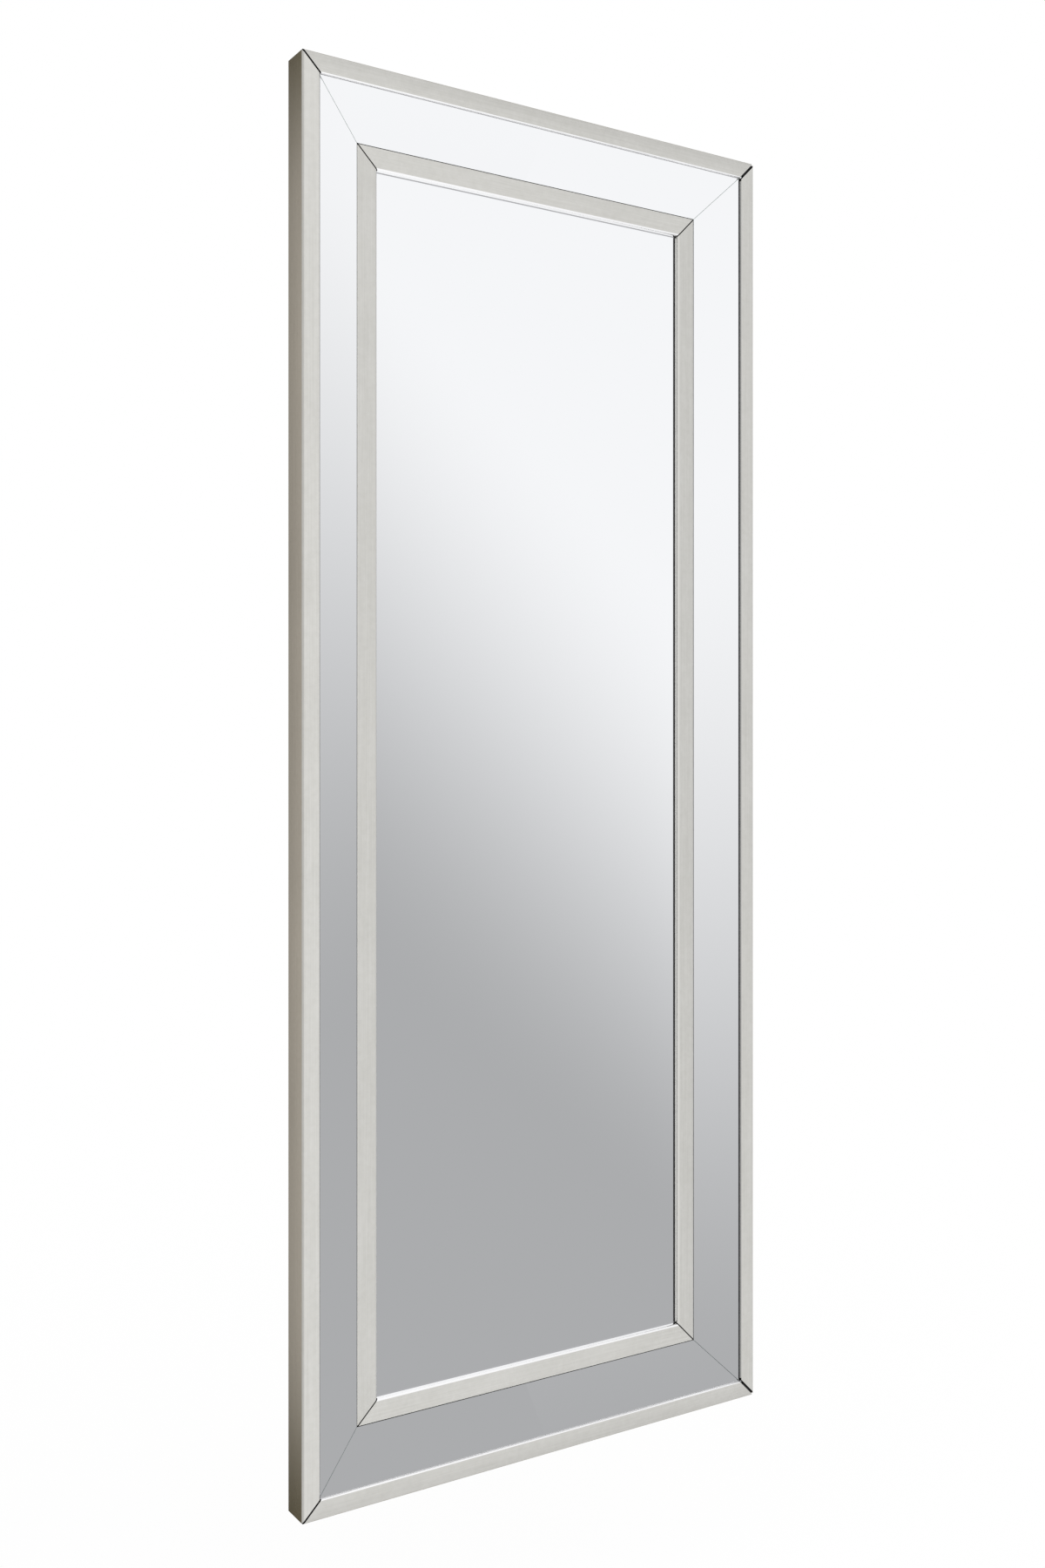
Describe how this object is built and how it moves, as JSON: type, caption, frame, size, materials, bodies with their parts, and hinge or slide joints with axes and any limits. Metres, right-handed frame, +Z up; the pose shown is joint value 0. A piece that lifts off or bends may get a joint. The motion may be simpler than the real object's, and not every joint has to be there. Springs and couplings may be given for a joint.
{
  "type": "full length wall mirror",
  "caption": "Tall rectangular wall mirror with a sunken border of sloping mirror strips between brushed metal outer and inner rails, hung on rings behind.",
  "frame": {"origin": "on the wall plane, behind the middle of the mirror", "axes": "+Z up, +X to the right as one faces the mirror, +Y into the wall, the glass looks along -Y"},
  "size_m": [0.6, 0.04, 1.5],
  "materials": {
    "brushed_trim": "fine brushed along each rail, pale champagne silver",
    "mirror_glass": "silvered float glass",
    "rail_mdf": "MDF with a black sealed front and a bare back",
    "hardboard": "bare hardboard, mesh side out",
    "foam_tape": "white foam",
    "beech": "pressed beech",
    "shim_plastic": "black polypropylene",
    "plated_steel": "bright zinc plate",
    "bumper_rubber": "matt black rubber",
    "bead_rubber": "matt grey rubber"
  },
  "bodies": {
    "mirror": {"back_board": "hardboard", "back_board_screws": "plated_steel", "border_mirror_bottom": "mirror_glass", "border_mirror_left": "mirror_glass", "border_mirror_right": "mirror_glass", "border_mirror_top": "mirror_glass", "centre_mirror": "mirror_glass", "corner_plate_bottom_left": "plated_steel", "corner_plate_bottom_right": "plated_steel", "corner_plate_screws": "plated_steel", "corner_plate_top_left": "plated_steel", "corner_plate_top_right": "plated_steel", "frame_rail_bottom": "rail_mdf", "frame_rail_left": "rail_mdf", "frame_rail_right": "rail_mdf", "frame_rail_top": "rail_mdf", "glazing_bead_bottom": "bead_rubber", "glazing_bead_left": "bead_rubber", "glazing_bead_right": "bead_rubber", "glazing_bead_top": "bead_rubber", "hanger_screws": "plated_steel", "hanger_strap_left": "plated_steel", "hanger_strap_right": "plated_steel", "inner_trim_bottom": "brushed_trim", "inner_trim_left": "brushed_trim", "inner_trim_right": "brushed_trim", "inner_trim_top": "brushed_trim", "mirror_tape_bottom": "foam_tape", "mirror_tape_left": "foam_tape", "mirror_tape_right": "foam_tape", "mirror_tape_top": "foam_tape", "mitre_biscuit_bottom_left": "beech", "mitre_biscuit_bottom_right": "beech", "mitre_biscuit_top_left": "beech", "mitre_biscuit_top_right": "beech", "outer_trim_bottom": "brushed_trim", "outer_trim_left": "brushed_trim", "outer_trim_right": "brushed_trim", "outer_trim_top": "brushed_trim", "setting_blocks": "shim_plastic", "trim_screws": "plated_steel", "wall_bumper_bottom_left": "bumper_rubber", "wall_bumper_bottom_right": "bumper_rubber", "wall_bumper_top_left": "bumper_rubber", "wall_bumper_top_right": "bumper_rubber"},
    "left_ring": {"hanger_ring_left": "plated_steel"},
    "right_ring": {"hanger_ring_right": "plated_steel"}
  },
  "joints": [
    {"name": "left_ring_swing", "type": "hinge", "parent": "mirror", "child": "left_ring", "pos_m": [-0.2775, -0.0033, 0.45], "axis": [1, 0, 0], "range_deg": [0, 180]},
    {"name": "right_ring_swing", "type": "hinge", "parent": "mirror", "child": "right_ring", "pos_m": [0.2775, -0.0033, 0.45], "axis": [1, 0, 0], "range_deg": [0, 180]}
  ]
}
